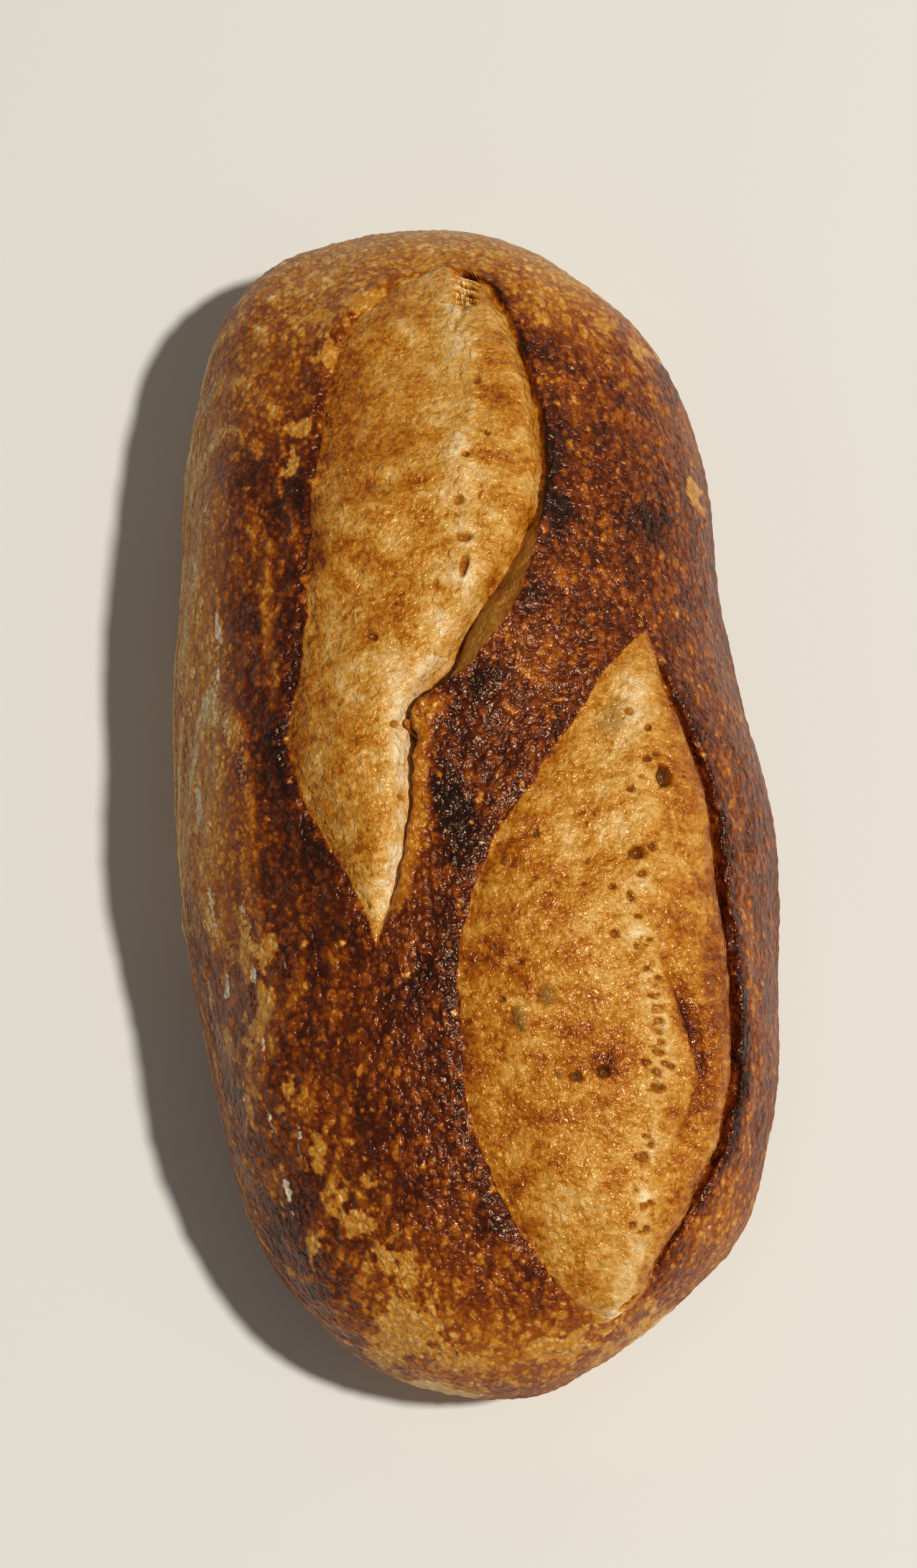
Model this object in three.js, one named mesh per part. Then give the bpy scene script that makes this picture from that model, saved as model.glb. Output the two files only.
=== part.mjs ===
// A sourdough loaf, baked free-standing: one solid with two slashes that burst open in the oven.
// Millimetres. +Z is up, +Y runs along the loaf, and the origin is the middle of the flat base.
import * as THREE from "three";

// The whole loaf
const loafLength = 290;
const crownHeight = 86; // top of the dome, before the bursts swell over it
const equatorHeight = 33; // where the sides are widest
const tipLift = 3; // how much higher that widest line runs at the two tips
const footPress = 1.2; // the underside's own depth, as a multiple of what lies above the table
const crustWave = 0.9; // slow unevenness of the crust, up and down

// How full the two sides are along the loaf, before the ends round off: [y, left half, right half]
const sideWidths = [
  [-145, 67, 38],
  [-120, 74, 70.5],
  [-90, 72, 72.2],
  [-50, 71.5, 72.6],
  [-5, 73, 71.3],
  [25, 71, 66.7],
  [45, 70, 64.5],
  [75, 69.8, 67.5],
  [105, 69.5, 64],
  [125, 74, 57],
  [145, 76, 32],
];

// Powers of the rounded outlines: 2 is an ellipse, and more is boxier
const power = {
  farEnd: 3,
  nearEnd: 2.6,
  crown: 2.2,
  keel: 3.2,
  domeAcross: 2.3,
  domeUp: 2.1,
  footAcross: 2.6,
  footDown: 3,
};

// The two slashes, with [x, y] points seen from above, from the far end to the near end. left is where
// the burst swells out of the crust, and lip is the lifted edge of the crust on its other side. The
// rest are [y, millimetres]: how far out the foot of the torn wall under the lip stands, how deep the
// crease there is, how high the lip rises and how far it reaches over the burst.
const slashes = [
  {
    left: [
      [4, 128], [-9, 122], [-21, 110], [-27, 95], [-32, 70], [-35, 48],
      [-38, 26], [-42, 10], [-39, -8], [-31, -25], [-26, -38], [-25, -43],
    ],
    lip: [
      [4, 128], [15, 120], [20, 106], [24, 88], [24, 70], [21, 55], [15, 38],
      [8, 27], [0, 18], [-10, 11], [-11, 2], [-13, -12], [-17, -25], [-22, -36], [-25, -43],
    ],
    wallWidth: [[66, 0], [50, 4], [36, 8], [20, 7], [11, 2], [2, 0]],
    creaseDepth: [[128, 1], [90, 1.8], [50, 2], [25, 3.2], [11, 4], [-10, 3.4], [-43, 1]],
    lipHeight: [[128, 0.7], [90, 1.5], [50, 1.2], [25, 1.8], [11, 3.8], [-10, 2.6], [-43, 0.6]],
    lipReach: [[128, 0.1], [90, 0.4], [50, 0.3], [25, 0.5], [11, 2.4], [-10, 1.7], [-43, 0.2]],
    swell: 4,
    restShares: [0.3, 0.4],
  },
  {
    left: [
      [44, 29], [37, 23], [32, 16], [23, 4], [12, -10], [4, -21], [-2, -33], [-6, -46],
      [-7, -62], [-7, -80], [-4, -95], [1, -107], [8, -119], [15, -127], [21, -131],
    ],
    lip: [
      [44, 29], [47, 21], [50, 12], [54, -2], [57, -16], [58, -32], [58, -55],
      [57, -70], [54, -88], [49, -100], [42, -111], [35, -121], [28, -128], [21, -131],
    ],
    wallWidth: [[29, 0], [-131, 0]],
    creaseDepth: [[29, 0.6], [0, 2.2], [-50, 2.6], [-90, 2.4], [-131, 0.6]],
    lipHeight: [[29, 0.4], [0, 1.8], [-50, 2.4], [-90, 2], [-131, 0.4]],
    lipReach: [[29, 0.1], [0, 0.7], [-50, 1], [-90, 0.8], [-131, 0.1]],
    swell: 4.4,
    restShares: [0.66, 0.76],
  },
];

// The shapes that all the edges share
const wallLeast = 1.3; // narrowest torn wall, where it stands upright under the lip
const wallPower = 1.3; // over 1, the wall starts gently and steepens towards the lip
const bulge = { fullWidth: 36, leftPower: 1.1, lipPower: 0.5, widthPower: 0.8 };
const valley = { depth: 0.5, width: 2 }; // a shallow dip where the burst starts
const roll = { height: 0.6, back: 3.4, width: 3.4 }; // the crust's own rolled edge beside it
const lip = { fall: 9, overhangWidth: 2.2, undercutShare: 0.6, undercutWidth: 1.6 };
const crease = { burstWidth: 2.6, wallWidth: 1.4 };
const endFade = 13; // over this length at its ends an edge rises from nothing

// A smaller tear in the near burst: a low step that bends with it
const tear = {
  points: [[38, -46], [43, -60], [45.5, -73], [43.5, -85], [37, -98]],
  depth: 1.9,
  width: 2.4,
};

// The crust stays plain near the table: relief grows between these heights
const reliefFrom = 4;
const reliefFull = 22;

// Mesh density. A span of columns runs over the dome from one side, edge or wall foot to the next,
// and gathers at its first and last ends.
const rings = 86;
const footColumns = 14;
const spans = [
  { count: 9, first: 0, last: 1 },
  { count: 10, first: 1, last: 2 },
  { count: 2, first: 0, last: 0 },
  { count: 7, first: 2, last: 1 },
  { count: 11, first: 1, last: 2 },
  { count: 2, first: 0, last: 0 },
  { count: 9, first: 2, last: 0 },
];
const gatherWidth = 0.25; // share of a span that its gathered end takes up
const closeRings = { y: 18, width: 26, extra: 0.7 }; // rings are closer round the far lip's tip
const leastGap = 2; // half the width that a slash's columns keep where the slash closes
const driftLength = 70; // beyond a slash, its columns take this long to reach their resting shares
const tipZone = { from: 127, to: 142 }; // nearer the tips than this, all columns rest
const edgeStep = 3; // length of the straight pieces that stand for an edge when it is measured to
const tableSteps = 200;

const half = loafLength / 2;
const domeColumns = spans.reduce((sum, span) => sum + span.count, 0);
const columns = domeColumns + footColumns;

const clamp = (v, least, most) => Math.min(most, Math.max(least, v));
const mix = (a, b, t) => a + (b - a) * t;
const bell = (v, width) => Math.exp(-((v / width) ** 2));
const rounded = (v, p) => Math.max(0, 1 - Math.abs(v) ** p) ** (1 / p);
const smooth = (from, to, v) => THREE.MathUtils.smoothstep(v, from, to);

// A smooth function through [input, output] points, held level beyond the first and the last
function through(points) {
  const sorted = [...points].sort((a, b) => a[0] - b[0]);
  const last = sorted.length - 1;
  const slopes = sorted.map((_, i) => {
    const before = sorted[Math.max(0, i - 1)];
    const after = sorted[Math.min(last, i + 1)];
    return (after[1] - before[1]) / (after[0] - before[0]);
  });
  return (input) => {
    const v = clamp(input, sorted[0][0], sorted[last][0]);
    let i = 0;
    while (i < last - 1 && sorted[i + 1][0] < v) i++;
    const step = sorted[i + 1][0] - sorted[i][0];
    const t = (v - sorted[i][0]) / step;
    const s = 1 - t;
    const level = s * s * (1 + 2 * t) * sorted[i][1] + t * t * (1 + 2 * s) * sorted[i + 1][1];
    return level + step * s * t * (s * slopes[i] - t * slopes[i + 1]);
  };
}

const leftFullness = through(sideWidths.map(([y, left]) => [y, left]));
const rightFullness = through(sideWidths.map(([y, , right]) => [y, right]));

// The plain loaf's measures at y
function measuresAt(y) {
  const along = y / half;
  const ends = rounded(along, y > 0 ? power.farEnd : power.nearEnd);
  const waist = equatorHeight + tipLift * along * along;
  return {
    left: leftFullness(y) * ends,
    right: rightFullness(y) * ends,
    waist,
    rise: (crownHeight - waist) * rounded(along, power.crown),
    drop: waist * footPress * rounded(along, power.keel),
  };
}

// A point of the plain loaf's cross-section. turn 0 is the left side, 0.25 the crown, 0.5 the right
// side and 0.75 the base.
function section(y, turn) {
  const { left, right, waist, rise, drop } = measuresAt(y);
  const across = -Math.cos(turn * 2 * Math.PI);
  const up = Math.sin(turn * 2 * Math.PI);
  const isFoot = up < 0;
  const share = Math.abs(across) ** (2 / (isFoot ? power.footAcross : power.domeAcross));
  const height = Math.abs(up) ** (2 / (isFoot ? power.footDown : power.domeUp));
  const x = (across < 0 ? -left : right) * share;
  return new THREE.Vector3(x, y, isFoot ? Math.max(0, waist - drop * height) : waist + rise * height);
}

// The point of the plain dome above a plan position
function onDome(x, y) {
  const { left, right, waist, rise } = measuresAt(y);
  const share = Math.min(1, Math.abs(x) / (x < 0 ? left : right));
  return new THREE.Vector3(x, y, waist + rise * (1 - share ** power.domeAcross) ** (1 / power.domeUp));
}

// An edge, given by x as a function of y: the same as a line over the dome. side is 1 where its burst
// lies towards +X, and -1 where it lies towards -X.
function makeEdge(x, far, near, side) {
  const count = Math.ceil((far - near) / edgeStep);
  const line = [];
  for (let i = 0; i <= count; i++) {
    const y = mix(near, far, i / count);
    line.push(onDome(x(y), y));
  }
  return { x, far, near, side, line };
}

function edgeThrough(points, side) {
  return makeEdge(through(points.map(([x, y]) => [y, x])), points[0][1], points[points.length - 1][1], side);
}

// The distance from p to an edge, more than 0 on the burst's side, with the nearest point's y and the
// edge's direction there
function measure(p, edge) {
  const piece = new THREE.Line3();
  const closest = new THREE.Vector3();
  const along = new THREE.Vector3();
  let gap = Infinity;
  let y = 0;
  for (let i = 1; i < edge.line.length; i++) {
    piece.set(edge.line[i - 1], edge.line[i]).closestPointToPoint(p, true, closest);
    if (closest.distanceTo(p) < gap) {
      gap = closest.distanceTo(p);
      y = closest.y;
      piece.delta(along).normalize();
    }
  }
  const isInside = p.y < edge.far && p.y > edge.near && (p.x - edge.x(p.y)) * edge.side > 0;
  return { gap: isInside ? gap : -gap, y, along };
}

const cuts = slashes.map((slash) => {
  const leftEdge = edgeThrough(slash.left, 1);
  const lipEdge = edgeThrough(slash.lip, -1);
  const widthAt = through(slash.wallWidth);
  const footX = (y) => lipEdge.x(y) - Math.max(0, widthAt(y));
  return {
    ...slash,
    leftEdge,
    lipEdge,
    footEdge: makeEdge(footX, lipEdge.far, lipEdge.near, -1),
    depthAt: through(slash.creaseDepth),
    heightAt: through(slash.lipHeight),
    reachAt: through(slash.lipReach),
  };
});
const tearEdge = edgeThrough(tear.points, 1);

// 0 at an edge's two ends and 1 between them
const within = ({ far, near }, y) => smooth(0, endFade, y - near) * smooth(0, endFade, far - y);

// The burst's rounded rise, from 0 at its left edge, over 1 at its highest, to 0 at the wall's foot
function riseAcross(share) {
  const { leftPower, lipPower } = bulge;
  const top = leftPower / (leftPower + lipPower);
  return (share / top) ** leftPower * ((1 - share) / (1 - top)) ** lipPower;
}

// What a slash does to a point of the dome: how far it lifts along the surface's normal, and how far it
// slides along the surface
function openSlash(cut, p, normal) {
  const fromLeft = measure(p, cut.leftEdge);
  const fromLip = measure(p, cut.lipEdge);
  const fromFoot = Math.min(measure(p, cut.footEdge).gap, fromLip.gap - wallLeast);
  const slide = new THREE.Vector3();
  let lift = 0;
  if (fromLip.gap > 0) {
    const shown = within(cut.leftEdge, fromLeft.y);
    lift += shown * roll.height * bell(fromLeft.gap + roll.back, roll.width);
    lift -= shown * valley.depth * bell(fromLeft.gap, valley.width);
  }
  if (fromLeft.gap < 0) return { lift, slide };
  if (fromFoot > 0) {
    const width = fromLeft.gap + fromFoot;
    const fullness = Math.min(1, width / bulge.fullWidth) ** bulge.widthPower;
    lift += cut.swell * fullness * riseAcross(fromLeft.gap / width);
  }
  const shown = within(cut.lipEdge, fromLip.y);
  const upWall = clamp(-fromFoot / (fromLip.gap - fromFoot), 0, 1) ** wallPower;
  const climb = fromLip.gap < 0 ? Math.exp(fromLip.gap / lip.fall) : upWall;
  const dip = bell(fromFoot, fromFoot > 0 ? crease.burstWidth : crease.wallWidth);
  lift += shown * (cut.heightAt(fromLip.y) * climb - cut.depthAt(fromLip.y) * dip);
  const overhang = bell(fromLip.gap + wallLeast / 2, lip.overhangWidth);
  const undercut = lip.undercutShare * bell(fromFoot, lip.undercutWidth);
  slide.crossVectors(normal, fromLip.along).normalize();
  slide.multiplyScalar(shown * cut.reachAt(fromLip.y) * (overhang - undercut));
  return { lift, slide };
}

// A slow unevenness made of five crossing waves
function waves({ x, y, z }) {
  const count = 5;
  let sum = 0;
  for (let i = 0; i < count; i++) {
    const turn = 2.4 * i;
    const length = 34 + 13 * i;
    const path = x * Math.cos(turn) + y * Math.sin(turn) + 0.7 * z * Math.cos(turn + 1);
    sum += Math.sin((path * 2 * Math.PI) / length + 1.7 * i);
  }
  return (2 * sum) / count;
}

// The baked surface over a point of the plain loaf
function bake(base, normal, isDome) {
  const p = base.clone();
  const grounded = smooth(reliefFrom, reliefFull, base.z);
  p.addScaledVector(normal, grounded * crustWave * waves(base));
  if (!isDome) return p;
  for (const cut of cuts) {
    const { lift, slide } = openSlash(cut, base, normal);
    p.addScaledVector(normal, grounded * lift).addScaledVector(slide, grounded);
  }
  const torn = measure(base, tearEdge);
  return p.addScaledVector(normal, -within(tearEdge, torn.y) * tear.depth * bell(torn.gap, tear.width));
}

// count + 1 values from first to last, closer together where the weight of a step is high
function spread(first, last, count, weight) {
  const inputs = [first];
  const sums = [0];
  for (let i = 1; i <= tableSteps; i++) {
    inputs.push(mix(first, last, i / tableSteps));
    sums.push(sums[i - 1] + weight(inputs[i - 1], inputs[i]));
  }
  const values = [];
  for (let i = 0; i <= count; i++) values.push(lookUp(sums, inputs, (sums[tableSteps] * i) / count));
  return values;
}

// The value in to that stands where v would stand in from, which rises
function lookUp(from, to, v) {
  const found = from.findIndex((f) => f >= v);
  const i = found < 0 ? from.length - 1 : Math.max(1, found);
  return mix(to[i - 1], to[i], clamp((v - from[i - 1]) / (from[i] - from[i - 1] || 1), 0, 1));
}

// Where the mesh columns of a slash run at y: its left edge, its wall's foot and its lip, as arc
// lengths over the dome. Beyond the slash's ends they keep a gap and drift to their resting shares.
function columnsOf(cut, y, arcAt, total) {
  const { far, near } = cut.leftEdge;
  const held = clamp(y, near, far);
  const drift = Math.max(
    smooth(0, driftLength, Math.abs(y - held)),
    smooth(tipZone.from, tipZone.to, Math.abs(y)),
  );
  const [left, foot, lipArc] = [cut.leftEdge, cut.footEdge, cut.lipEdge].map((e) => arcAt(e.x(held)));
  const [restLeft, restLip] = cut.restShares.map((share) => share * total);
  const open = (lipArc - left) / 2;
  const middle = mix((left + lipArc) / 2, (restLeft + restLip) / 2, drift);
  const reach = mix(open + leastGap * Math.exp(-open / leastGap), (restLip - restLeft) / 2, drift);
  const wall = mix(Math.max(wallLeast, lipArc - foot), (restLip - restLeft) / 8, drift);
  return [middle - reach, middle + reach - wall, middle + reach];
}

// One ring of the plain loaf, with its columns gathered along the edges of the bursts
function ring(y) {
  const turns = [];
  const xs = [];
  const arcs = [0];
  for (let i = 0; i <= tableSteps; i++) {
    turns.push((0.5 * i) / tableSteps);
    xs.push(section(y, turns[i]).x);
    if (i > 0) arcs.push(arcs[i - 1] + section(y, turns[i]).distanceTo(section(y, turns[i - 1])));
  }
  const total = arcs[tableSteps];
  const arcAt = (x) => lookUp(xs, arcs, x);
  const stops = [0, ...cuts.flatMap((cut) => columnsOf(cut, y, arcAt, total)), total];
  const domeArcs = spans.flatMap(({ count, first, last }, i) => {
    const [from, to] = [stops[i], stops[i + 1]];
    const weight = (a, b) => {
      const share = ((a + b) / 2 - from) / (to - from);
      return (b - a) * (1 + first * bell(share, gatherWidth) + last * bell(1 - share, gatherWidth));
    };
    return spread(from, to, count, weight).slice(0, count);
  });
  const domeTurns = domeArcs.map((arc) => lookUp(arcs, turns, arc));
  const footTurns = spread(0.5, 1, footColumns, (a, b) => section(y, a).distanceTo(section(y, b)));
  return [...domeTurns, ...footTurns].map((turn) => section(y, turn));
}

// Where the rings stand, evenly over the crown and the sides, so that the ends close roundly
function ringPlaces() {
  const walk = (from, to) => {
    const crown = section(from, 0.25).distanceTo(section(to, 0.25));
    const side = section(from, 0).distanceTo(section(to, 0));
    return (crown + side) * (1 + closeRings.extra * bell((from + to) / 2 - closeRings.y, closeRings.width));
  };
  return spread(half, -half, rings, walk);
}

function loafGeometry() {
  const tips = [half, -half].map((y) => new THREE.Vector3(0, y, measuresAt(y).waist));
  const places = ringPlaces().slice(1, -1);
  const plain = places.map(ring);
  const geometry = new THREE.SphereGeometry(1, columns, rings);
  const position = geometry.getAttribute("position");
  const across = new THREE.Vector3();
  const along = new THREE.Vector3();
  const normal = new THREE.Vector3();
  for (let r = 0; r <= rings; r++) {
    for (let c = 0; c <= columns; c++) {
      const column = c % columns; // the seam's last vertex repeats the first
      let p = tips[r === 0 ? 0 : 1];
      if (r > 0 && r < rings) {
        const here = plain[r - 1];
        across.subVectors(here[(column + 1) % columns], here[(column + columns - 1) % columns]);
        along.subVectors(plain[r - 2]?.[column] ?? tips[0], plain[r]?.[column] ?? tips[1]);
        normal.crossVectors(across, along).normalize();
        p = bake(here[column], normal, column <= domeColumns);
      }
      position.setXYZ(r * (columns + 1) + c, p.x, p.y, p.z);
    }
  }
  geometry.computeVertexNormals();
  return geometry;
}

const crust = new THREE.MeshStandardMaterial({ color: 0xa8622a, roughness: 0.55, metalness: 0 });
const loaf = new THREE.Mesh(loafGeometry(), crust);
loaf.name = "loaf";

const bread = new THREE.Group();
bread.add(loaf);

export default bread;
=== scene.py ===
import math
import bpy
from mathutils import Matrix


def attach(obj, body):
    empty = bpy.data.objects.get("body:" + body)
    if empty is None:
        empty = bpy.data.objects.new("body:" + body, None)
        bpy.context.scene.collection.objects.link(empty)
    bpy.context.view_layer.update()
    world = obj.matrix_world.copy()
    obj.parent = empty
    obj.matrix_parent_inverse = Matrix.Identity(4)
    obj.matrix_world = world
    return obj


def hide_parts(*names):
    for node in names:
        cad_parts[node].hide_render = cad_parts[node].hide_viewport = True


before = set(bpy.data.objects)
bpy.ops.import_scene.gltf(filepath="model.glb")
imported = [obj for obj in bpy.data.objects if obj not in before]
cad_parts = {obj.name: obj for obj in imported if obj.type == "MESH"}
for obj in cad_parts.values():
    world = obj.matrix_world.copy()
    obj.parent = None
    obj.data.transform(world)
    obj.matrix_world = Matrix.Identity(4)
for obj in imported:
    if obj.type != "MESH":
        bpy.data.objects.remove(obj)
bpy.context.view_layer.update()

from types import SimpleNamespace

import bpy
import numpy as np
from mathutils import Matrix, Vector

mm = 0.001  # the loaf is worked out in millimetres and its mesh made in metres

loafShape = dict(
    length=290,
    crownHeight=86,     # top of the dome, before the bursts swell over it
    equatorHeight=33,   # where the sides are widest
    tipLift=3,          # how much higher that line runs at the tips
    footPress=1.2,      # depth of the underside, as a multiple of what lies above the table
    crustWave=0.9,      # slow unevenness
    # powers of the rounded outlines, where 2 is an ellipse
    farEnd=3, nearEnd=2.6, crown=2.2, keel=3.2,
    domeAcross=2.3, domeUp=2.1, footAcross=2.6, footDown=3,
    # y, left half, right half
    sideWidths=[(-145, 67, 38), (-120, 74, 70.5), (-90, 72, 72.2), (-50, 71.5, 72.6),
                (-5, 73, 71.3), (25, 71, 66.7), (45, 70, 64.5), (75, 69.8, 67.5),
                (105, 69.5, 64), (125, 74, 57), (145, 76, 32)],
    reliefFrom=4, reliefFull=22,  # relief grows between these heights
)


def smooth(low, high, value):
    t = np.clip((value - low) / (high - low), 0, 1)
    return t * t * (3 - 2 * t)


def mix(a, b, t):
    return a + (b - a) * t


def bell(value, width):
    return np.exp(-(value / width) ** 2)


def spanned(value, span):  # 0, rising to 1 between the first two of span and falling between the others
    start, full, fade, end = span
    return smooth(start, full, value) * smooth(end, fade, value)


def rounded(value, power):
    return np.maximum(0, 1 - np.abs(value) ** power) ** (1 / power)


def through(points):  # a smooth function through (input, output) points, level beyond both ends
    points = sorted(points)
    ins = np.array([p[0] for p in points], float)
    outs = np.array([p[1] for p in points], float)
    before = np.maximum(np.arange(len(ins)) - 1, 0)
    after = np.minimum(np.arange(len(ins)) + 1, len(ins) - 1)
    slopes = (outs[after] - outs[before]) / (ins[after] - ins[before])

    def at(value):
        value = np.clip(value, ins[0], ins[-1])
        i = np.clip(np.searchsorted(ins, value, side="left") - 1, 0, len(ins) - 2)
        step = ins[i + 1] - ins[i]
        t = (value - ins[i]) / step
        s = 1 - t
        level = s * s * (1 + 2 * t) * outs[i] + t * t * (1 + 2 * s) * outs[i + 1]
        return level + step * s * t * (s * slopes[i] - t * slopes[i + 1])

    return at


leftFullness = through([(y, left) for y, left, right in loafShape["sideWidths"]])
rightFullness = through([(y, right) for y, left, right in loafShape["sideWidths"]])
halfLength = loafShape["length"] / 2


def measuresAt(y):
    along = y / halfLength
    ends = np.where(y > 0, rounded(along, loafShape["farEnd"]), rounded(along, loafShape["nearEnd"]))
    waist = loafShape["equatorHeight"] + loafShape["tipLift"] * along ** 2
    rise = (loafShape["crownHeight"] - waist) * rounded(along, loafShape["crown"])
    drop = waist * loafShape["footPress"] * rounded(along, loafShape["keel"])
    return leftFullness(y) * ends, rightFullness(y) * ends, waist, rise, drop


def section(y, turn):  # a point of the cross-section: turn 0 left, 0.25 crown, 0.5 right, 0.75 base
    left, right, waist, rise, drop = measuresAt(y)
    across = -np.cos(turn * 2 * math.pi)
    up = np.sin(turn * 2 * math.pi)
    isFoot = up < 0
    share = np.abs(across) ** (2 / np.where(isFoot, loafShape["footAcross"], loafShape["domeAcross"]))
    height = np.abs(up) ** (2 / np.where(isFoot, loafShape["footDown"], loafShape["domeUp"]))
    x = np.where(across < 0, -left, right) * share
    z = np.where(isFoot, np.maximum(0, waist - drop * height), waist + rise * height)
    return np.stack([x, y + 0 * x, z], -1)


def onDome(x, y):  # the point of the plain dome above a plan position
    left, right, waist, rise, _ = measuresAt(y)
    share = np.minimum(1, np.abs(x) / np.where(x < 0, left, right))
    z = waist + rise * (1 - share ** loafShape["domeAcross"]) ** (1 / loafShape["domeUp"])
    return np.stack([x, y, z], -1)


# x, y points of a slash's lines run from the far end to the near end; the lists after them are
# y, millimetres. left is where the burst swells out of the crust, lip the lifted edge beyond it,
# and seam the pale line in it that tore last.
farSlash = dict(
    left=[(4, 128), (-9, 122), (-21, 110), (-27, 95), (-32, 70), (-35, 48),
          (-38, 26), (-42, 10), (-39, -8), (-31, -25), (-26, -38), (-25, -43)],
    lip=[(4, 128), (15, 120), (20, 106), (24, 88), (24, 70), (21, 55), (15, 38), (8, 27),
         (0, 18), (-10, 11), (-11, 2), (-13, -12), (-17, -25), (-22, -36), (-25, -43)],
    seam=[(8, 122), (6, 105), (9, 95), (4, 75), (3, 62), (3, 44), (-4, 27),
          (-13, 14), (-13, 0), (-16, -17), (-23, -34)],
    wallWidth=[(66, 0), (50, 4), (36, 8), (20, 7), (11, 2), (2, 0)],
    creaseDepth=[(128, 1), (90, 1.8), (50, 2.4), (36, 3.6), (25, 5), (11, 7.6), (-8, 6.8), (-26, 4.4),
                 (-43, 1)],
    lipHeight=[(128, 0.7), (90, 1.5), (50, 1.8), (36, 2.8), (25, 3), (11, 4), (-10, 2.8), (-43, 0.6)],
    lipReach=[(128, 0.1), (90, 0.4), (50, 0.3), (25, 0.6), (11, 2.6), (-10, 2.1), (-43, 0.3)],
    lipRound=[(20, 0), (9, 1.8), (-12, 2.6), (-30, 1.4), (-42, 0)],  # the lip rolls over to the burst
    swell=4, restShares=(0.3, 0.4),
)
nearSlash = dict(
    left=[(44, 29), (37, 23), (32, 16), (23, 4), (12, -10), (4, -21), (-2, -33), (-6, -46),
          (-7, -62), (-7, -80), (-4, -95), (1, -107), (8, -119), (15, -127), (21, -131)],
    lip=[(44, 29), (47, 21), (50, 12), (54, -2), (57, -16), (58, -32), (58, -55),
         (57, -70), (54, -88), (49, -100), (42, -111), (35, -121), (28, -128), (21, -131)],
    seam=[(39, 14), (38, -8), (36, -26), (34, -42), (37, -54), (37, -72), (35, -86),
          (32, -97), (30, -108), (28, -118), (23, -129)],
    wallWidth=[(29, 0), (-131, 0)],
    creaseDepth=[(29, 0.6), (0, 2.2), (-50, 2.6), (-90, 2.4), (-131, 0.6)],
    lipHeight=[(29, 0.4), (0, 1.8), (-50, 2.4), (-90, 2), (-131, 0.4)],
    lipReach=[(29, 0.1), (0, 0.7), (-50, 1), (-90, 0.8), (-131, 0.1)],
    lipRound=[(29, 0), (-131, 0)],
    swell=4.4, restShares=(0.66, 0.76),
)
tear = dict(  # a smaller tear in the near burst
    points=[(38, -46), (43, -60), (45.5, -73), (43.5, -85), (37, -98)],
    # the darkening along the tear is painted shade in its fold; rimBrown is a broader brown band beside it
    depth=2.4, width=2.6, steepWidth=0.9, reach=20, paintedShade=0.3, rimBrown=0.1,
)
edgeShape = dict(
    step=1.25, reach=76,                                        # straight pieces, and how far off they count
    ragged=0.7, raggedSize=9, jag=0.14, jagSize=1.9,            # how the tearing wanders
    raggedTip=(-10, 9), tipSize=6, tipJag=1.1, lipJag=1.6, lipJagSize=6.3,
    wallLeast=1.3, wallPower=1.3,
    fullWidth=36, leftPower=1.1, lipPower=0.5, widthPower=0.8,  # the burst's bulge
    valleyDepth=0.5, valleyWidth=2,                             # dip where the burst starts
    rollHeight=0.6, rollBack=3.4, rollWidth=3.4,                # the crust's edge beside that
    lipFall=9, overhangWidth=2.2, undercutShare=0.6, undercutWidth=1.6,
    creaseBurst=2.6, creaseWall=1.4, roundWidth=4.5, roundBurst=3, endFade=13, seamReach=40,
)


def makeEdge(xAt, far, near, side):
    ys = np.linspace(near, far, math.ceil((far - near) / edgeShape["step"]) + 1)
    return dict(xAt=xAt, far=far, near=near, side=side, line=onDome(xAt(ys), ys))


def edgeThrough(points, side):
    return makeEdge(through([(y, x) for x, y in points]), points[0][1], points[-1][1], side)


def openedCut(slash):
    lipEdge = edgeThrough(slash["lip"], -1)
    widthAt = through(slash["wallWidth"])
    footEdge = makeEdge(lambda y: lipEdge["xAt"](y) - np.maximum(0, widthAt(y)),
                        lipEdge["far"], lipEdge["near"], -1)
    return dict(slash, leftEdge=edgeThrough(slash["left"], 1), lipEdge=lipEdge, footEdge=footEdge,
                seamEdge=edgeThrough(slash["seam"], 1), depthAt=through(slash["creaseDepth"]),
                heightAt=through(slash["lipHeight"]), reachAt=through(slash["lipReach"]),
                roundAt=through(slash["lipRound"]))


# distance from points, which come by falling y, to an edge: more than 0 on the burst's side,
# with the nearest y and the edge's direction there
def measure(points, edge, reach=edgeShape["reach"]):
    gap2 = np.full(len(points), float(reach) ** 2)
    nearestY = np.clip(points[:, 1], edge["near"], edge["far"])
    along = np.zeros((len(points), 3))
    along[:, 1] = 1
    fallingY = np.maximum.accumulate(-points[:, 1])
    for a, b in zip(edge["line"][:-1], edge["line"][1:]):
        first, last = np.searchsorted(fallingY, [-b[1] - reach, -a[1] + reach])
        piece = b - a
        offset = points[first:last] - a
        t = np.clip(offset @ piece / (piece @ piece), 0, 1)
        miss2 = ((offset - t[:, None] * piece) ** 2).sum(1)
        closer = np.flatnonzero(miss2 < gap2[first:last])
        gap2[first + closer] = miss2[closer]
        nearestY[first + closer] = a[1] + t[closer] * piece[1]
        along[first + closer] = piece / np.linalg.norm(piece)
    inside = (points[:, 1] < edge["far"]) & (points[:, 1] > edge["near"])
    inside &= (points[:, 0] - edge["xAt"](points[:, 1])) * edge["side"] > 0
    return np.where(inside, 1, -1) * np.sqrt(gap2), nearestY, along


def within(edge, y, fade=edgeShape["endFade"]):  # 0 at an edge's two ends and 1 between them
    return smooth(0, fade, y - edge["near"]) * smooth(0, fade, edge["far"] - y)


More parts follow.
